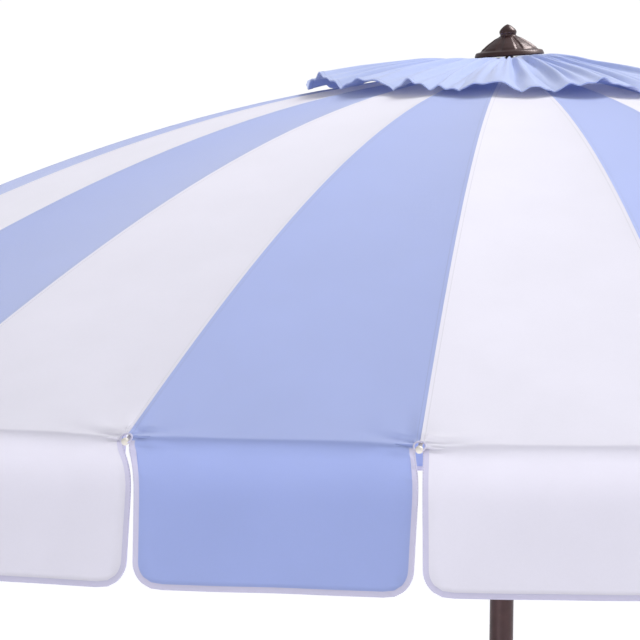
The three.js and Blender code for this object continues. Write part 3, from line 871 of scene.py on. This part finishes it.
def make_cap():
    radii = np.concatenate([np.linspace(CAP_SEAM_R, CAP_R - 0.0075, 26), [CAP_R - 0.007, CAP_R]])
    for number in range(1, RIBS + 1):
        angles = np.linspace(rib_angle(number), rib_angle(number + 1), 33)
        body = f"rib_{number:02d}"
        obj = cap_sector(f"cap_sector_{number:02d}", radii, angles, body)
        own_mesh(obj)
        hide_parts("vent_cap")
    angles = np.linspace(FIRST_RIB, FIRST_RIB + 2 * math.pi, 353)
    collar = cap_collar(np.linspace(CAP_INNER_R, CAP_SEAM_R, 7), angles[:-1])
    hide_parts("vent_cap")


def cap_collar(radii, angles):
    """The cap's gathered middle, a closed ring that stays under the finial."""
    radius, angle, points = cap_grid(radii, angles)
    rows, columns = radius.shape
    top = points + (0, 0, CLOTH / 2)
    low = points - (0, 0, CLOTH / 2)
    vertices = np.concatenate([top.reshape(-1, 3), low.reshape(-1, 3)])
    count = rows * columns
    faces = []
    for j in range(columns):
        k = (j + 1) % columns
        for i in range(rows - 1):
            a, b = i * columns + j, (i + 1) * columns + j
            c, d = (i + 1) * columns + k, i * columns + k
            faces.append((a, b, c, d))
            faces.append((a + count, d + count, c + count, b + count))
        a, b = j, k
        faces.append((a, b, b + count, a + count))
        a, b = (rows - 1) * columns + j, (rows - 1) * columns + k
        faces.append((b, a, a + count, b + count))
    obj = piece("cap_collar", vertices, faces, "pole", "cap_blue")
    cloth = np.stack([radius * angle, radius], -1).reshape(-1, 2)
    edge = np.stack([radius * 0 + 1, radius * angle], -1).reshape(-1, 2)
    add_uv(obj, "cloth", np.concatenate([cloth] * 2))
    add_uv(obj, "edge", np.concatenate([edge] * 2))
    set_cap_normals(obj, 1)
    return obj


# ---- ribs and stretchers -----------------------------------------------------------------------
def rod_z(radius):
    drop = 0.009 + (0.0058 - 0.009) * smooth(radius, 0.9, RIB_R)
    return line_z(radius) - drop * np.hypot(1, slope(radius))


ELBOW_Z = float(rod_z(ELBOW_R)) - ELBOW_DROP
TIP = (RIB_R + 0.0065, float(rod_z(RIB_R)) - 0.001)


def rib_parts():
    radii = np.linspace(HINGE_R + 0.004, RIB_R + 0.004, 60)
    root = smooth(radii, HINGE_R, HINGE_R + 0.09)
    heights = HUB_PIN_Z * (1 - root) + rod_z(radii) * root
    line = np.stack([radii, np.zeros_like(radii), heights], -1)
    rod = sweep(line, ROD_R)
    eye = round_bar((HINGE_R, 0, HUB_PIN_Z), (0, 1, 0), EYE_R, 2 * ROD_R)
    tip = ball((TIP[0], 0, TIP[1]), 0.0052)
    x, z = ELBOW_R, ELBOW_Z
    lean = CLIP_HALF * float(slope(ELBOW_R))
    shoulder, top = z + 0.0055, z + 0.013
    outline = [(x - 0.0045, z - 0.003), (x + 0.0045, z - 0.003),
               (x + CLIP_HALF, shoulder + lean), (x + CLIP_HALF, top + lean),
               (x - CLIP_HALF, top - lean), (x - CLIP_HALF, shoulder - lean)]
    clip = eased_plate(outline, 0.0084, 0)
    pin = round_bar((x, 0.0055, z), (0, 1, 0), PIN_R, 0.011)
    return gather([rod, tip]), gather([eye, clip, pin])


def stretcher_parts():
    start, end = np.array([HINGE_R, RUNNER_PIN_Z]), np.array([ELBOW_R, ELBOW_Z])
    run = end - start
    length = float(np.hypot(*run))
    way = run / length
    square = np.array([-way[1], way[0]])
    half, end_half = STRETCHER_HALF_W, 0.0035
    waist = [(0.004, end_half), (0.016, half), (length - 0.016, half), (length - 0.004, end_half)]
    outline = [start + way * a + square * b for a, b in waist]
    outline += [start + way * a - square * b for a, b in reversed(waist)]
    bar = eased_plate([tuple(p) for p in outline], STRETCHER_T, STRETCHER_SIDE)
    eyes = [round_bar((p[0], STRETCHER_SIDE, p[1]), (0, 1, 0), EYE_R, 0.004) for p in (start, end)]
    return gather([bar] + eyes)


def make_ribs():
    """A rod, its fittings, a stretcher and a small cloth loop at the tip, for each rib."""
    (rod, rod_faces), (fittings, fitting_faces) = rib_parts()
    strut, strut_faces = stretcher_parts()
    for number in range(1, RIBS + 1):
        angle = rib_angle(number)
        label = f"{number:02d}"
        body, folding = f"rib_{label}", f"stretcher_{label}"
        made = piece(f"rib_rod_{label}", turn_about_pole(rod, angle), rod_faces, body, "fibreglass")
        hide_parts(body)
        made = piece(f"rib_fittings_{label}", turn_about_pole(fittings, angle), fitting_faces, body, "bronze")
        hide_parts(body)
        made = piece(f"stretcher_bar_{label}", turn_about_pole(strut, angle), strut_faces, folding, "bronze")
        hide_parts(folding)
        u = out(angle)
        at = u * (RIB_R + 0.0035) + np.array([0, 0, RIM_Z - 0.0035])
        ring = loop_ring(at, u * 0.75 + np.array([0, 0, 0.66]), 0.0078, 0.0013)
        piece(f"tip_loop_{label}", ring[0], ring[1], body, "binding")


# ---- hub, pole and finial ------------------------------------------------------------------------
def make_finial():
    z = FINIAL_Z
    foot = [(0, -0.016), (0.006, -0.016), (0.006, 0.0004)]
    rim = [(0.0500, 0), (0.0518, 0.0003), (0.0525, 0.0012), (0.0508, 0.0058), (0.0496, 0.0070),
           (0.0468, 0.0078), (0.0436, 0.0084)]
    bell_low, bell_top = 0.0084, 0.0300
    levels, radii = zip((bell_low, 0.0436), (0.0117, 0.0388), (0.0188, 0.0300), (0.0250, 0.0205),
                        (bell_top, 0.0134))
    bell = [(float(np.interp(level, levels, radii)), level)
            for level in np.linspace(0.0092, bell_top, 17)[1:]]
    knob = [(0.0122, 0.0306), (0.0118, 0.0318), (0.0124, 0.0332), (0.0130, 0.0352), (0.0130, 0.0370),
            (0.0120, 0.0392), (0.0094, 0.0422), (0.0062, 0.0450), (0.0032, 0.0468), (0.0014, 0.0476)]
    profile = [(radius, z + level) for radius, level in foot + rim + bell + knob]
    profile.append((0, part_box("finial")[1][2]))

    def facets(angle, radius, level):
        """Eight raised, four-sided panels round the bell."""
        t = (level - z - bell_low) / (bell_top - bell_low)
        up = float(smooth(t, 0.06, 0.14)) * (1 - float(smooth(t, 0.84, 0.93)))
        turn = (angle * 8 / (2 * math.pi) + 0.5) % 1 - 0.5
        across = 1 - float(smooth(abs(turn), 0.31, 0.36))
        return 0.0021 * up * across

    finial = turned("finial_cast", profile, "pole", "bronze", sides=160, angle=50, shape=facets)
    lean = Matrix.Rotation(-FINIAL_LEAN, 4, "Y")
    pivot = Matrix.Translation((0, 0, z + 0.001))
    finial.data.transform(pivot @ lean @ pivot.inverted())
    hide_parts("finial")


def cut_by(obj, cutters):
    """Cuts boxes and bars out of a piece, with the result applied to its mesh."""
    for vertices, faces in cutters:
        mesh = bpy.data.meshes.new("cutter")
        mesh.from_pydata([tuple(v) for v in vertices], [], faces)
        tool = bpy.data.objects.new("cutter", mesh)
        bpy.context.collection.objects.link(tool)
        modifier = obj.modifiers.new("cut", "BOOLEAN")
        modifier.operation = "DIFFERENCE"
        modifier.solver = "EXACT"
        modifier.object = tool
        bpy.context.view_layer.update()
        whole = bpy.data.meshes.new_from_object(obj.evaluated_get(bpy.context.evaluated_depsgraph_get()))
        obj.modifiers.clear()
        obj.data = whole
        bpy.data.objects.remove(tool)
    obj.data.polygons.foreach_set("use_smooth", np.ones(len(obj.data.polygons), dtype=bool))
    obj.data.set_sharp_from_angle(angle=math.radians(35))


def box_shape(low, high):
    (x0, y0, z0), (x1, y1, z1) = low, high
    vertices = [(x0, y0, z0), (x1, y0, z0), (x1, y1, z0), (x0, y1, z0),
                (x0, y0, z1), (x1, y0, z1), (x1, y1, z1), (x0, y1, z1)]
    faces = [(3, 2, 1, 0), (4, 5, 6, 7), (0, 1, 5, 4), (1, 2, 6, 5), (2, 3, 7, 6), (3, 0, 4, 7)]
    return vertices, faces


def make_pole():
    """The two tubes, with the openings for button, pulley and cord, and the foot's plug."""
    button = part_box("snap_button")
    button_z = (button[0][2] + button[1][2]) / 2
    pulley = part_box("pulley")
    pulley_z = (pulley[0][2] + pulley[1][2]) / 2
    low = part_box("lower_pole")[0][2]
    lower = turned("pole_tube_lower", [
        (LOWER_BORE, low), (POLE_R - 0.0006, low), (POLE_R, low + 0.0006), (POLE_R, LOWER_TOP - 0.0008),
        (POLE_R - 0.0008, LOWER_TOP), (LOWER_BORE, LOWER_TOP), (LOWER_BORE, low)], "pole", "bronze", sides=72)
    cut_by(lower, [round_bar((POLE_R, 0, button_z), (1, 0, 0), BUTTON_HOLE_R, 0.008)])
    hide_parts("lower_pole")
    joint = LOWER_TOP + 0.0003
    end = joint - SPIGOT_LONG
    mast = turned("pole_tube_upper", [
        (SPIGOT_BORE, end), (0.0155, end), (SPIGOT_R, end + 0.001), (SPIGOT_R, joint),
        (POLE_R - 0.0008, joint), (POLE_R, joint + 0.0008), (POLE_R, MAST_TOP), (MAST_BORE, MAST_TOP),
        (MAST_BORE, joint + 0.02), (SPIGOT_BORE, joint + 0.02), (SPIGOT_BORE, end)],
        "pole", "bronze", sides=72)
    half, tall = SLOT_HALF
    cut_by(mast, [
        round_bar((0.0151, 0, button_z), (1, 0, 0), BUTTON_HOLE_R, 0.008),
        box_shape((0.004, -half, pulley_z - tall), (0.022, half, pulley_z + tall)),
        box_shape(*CORD_SLOT),
    ])
    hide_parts("mast")
    foot = turned("foot_plug", [
        (0, 0), (0.0155, 0), (0.0168, 0.0004), (POLE_R - 0.0003, 0.0018), (POLE_R, 0.003), (POLE_R, 0.0105),
        (POLE_R - 0.0007, 0.0117), (0.0162, 0.0117), (0.0162, 0.041), (0.0152, 0.042), (0, 0.042)],
        "pole", "black_plastic", sides=72)
    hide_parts("pole_foot")


def dress_cad():
    """Materials for the CAD nodes that stay."""
    slots = {row["node"]: row["material_slot"] for row in frame["record"]["subparts"]}
    for name, node in frame["nodes"].items():
        node.data.materials.clear()
        node.data.materials.append(MATERIALS[slots[name]])


make_camera()
make_studio()
make_floor()
dress_cad()
panel_random = np.random.RandomState(5)
for panel_number in range(1, RIBS + 1):
    make_panel(panel_number, panel_random)
make_cap()
make_ribs()
make_finial()
make_pole()
